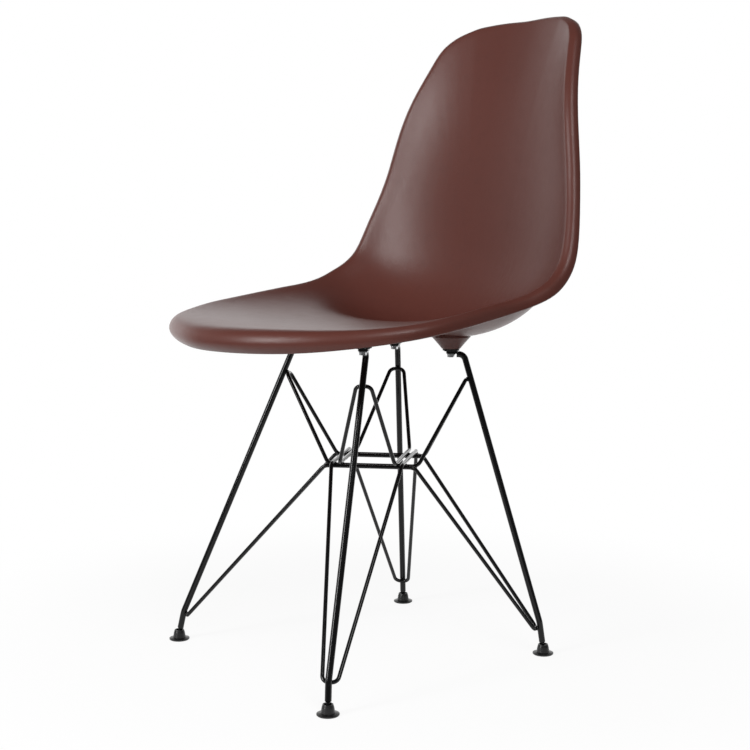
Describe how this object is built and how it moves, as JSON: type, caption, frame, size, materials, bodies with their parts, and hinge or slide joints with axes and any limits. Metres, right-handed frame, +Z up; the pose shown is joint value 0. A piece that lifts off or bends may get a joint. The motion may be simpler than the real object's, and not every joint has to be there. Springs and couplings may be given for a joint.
{
  "type": "moulded plastic shell chair",
  "caption": "Dining chair with a one-piece moulded plastic bucket shell on splayed steel rod legs braced by crossing wire loops, with tilting foot glides.",
  "frame": {"origin": "on the floor, under the middle of the chair's overall box", "axes": "+Z up; -Y the way the sitter faces; +X towards the sitter's left"},
  "size_m": [0.4758, 0.5216, 0.8212],
  "materials": {
    "shell_plastic": "fine-grained satin moulding",
    "rod_finish": "satin black powder coat",
    "pad_plastic": "dark grey moulded plastic",
    "insert_brass": "knurled and turned",
    "plated_hardware": "bright zinc plating",
    "glide_plastic": "black moulded plastic"
  },
  "bodies": {
    "chair": {"seat_shell": "shell_plastic", "mount_pad_front_left": "pad_plastic", "mount_pad_front_right": "pad_plastic", "mount_pad_rear_left": "pad_plastic", "mount_pad_rear_right": "pad_plastic", "threaded_inserts": "insert_brass", "mount_screws": "plated_hardware", "screw_washers": "plated_hardware", "leg_front_left": "rod_finish", "leg_front_right": "rod_finish", "leg_rear_left": "rod_finish", "leg_rear_right": "rod_finish", "lower_loop_from_front_left": "rod_finish", "lower_loop_from_front_right": "rod_finish", "upper_loop_from_front_left": "rod_finish", "upper_loop_from_front_right": "rod_finish"},
    "glide_front_left": {"glide_front_left": "glide_plastic"},
    "glide_front_right": {"glide_front_right": "glide_plastic"},
    "glide_rear_left": {"glide_rear_left": "glide_plastic"},
    "glide_rear_right": {"glide_rear_right": "glide_plastic"}
  },
  "joints": [
    {"name": "front_left_glide_tilt", "type": "hinge", "parent": "chair", "child": "glide_front_left", "pos_m": [0.1785, -0.19181, 0.0082], "axis": [-0.6544, -0.7562, 0], "range_deg": [-8, 8]},
    {"name": "front_right_glide_tilt", "type": "hinge", "parent": "chair", "child": "glide_front_right", "pos_m": [-0.1785, -0.19181, 0.0082], "axis": [-0.6544, 0.7562, 0], "range_deg": [-8, 8]},
    {"name": "rear_left_glide_tilt", "type": "hinge", "parent": "chair", "child": "glide_rear_left", "pos_m": [0.1515, 0.16019, 0.0082], "axis": [0.7071, -0.7071, 0], "range_deg": [-8, 8]},
    {"name": "rear_right_glide_tilt", "type": "hinge", "parent": "chair", "child": "glide_rear_right", "pos_m": [-0.1515, 0.16019, 0.0082], "axis": [0.7071, 0.7071, 0], "range_deg": [-8, 8]}
  ]
}
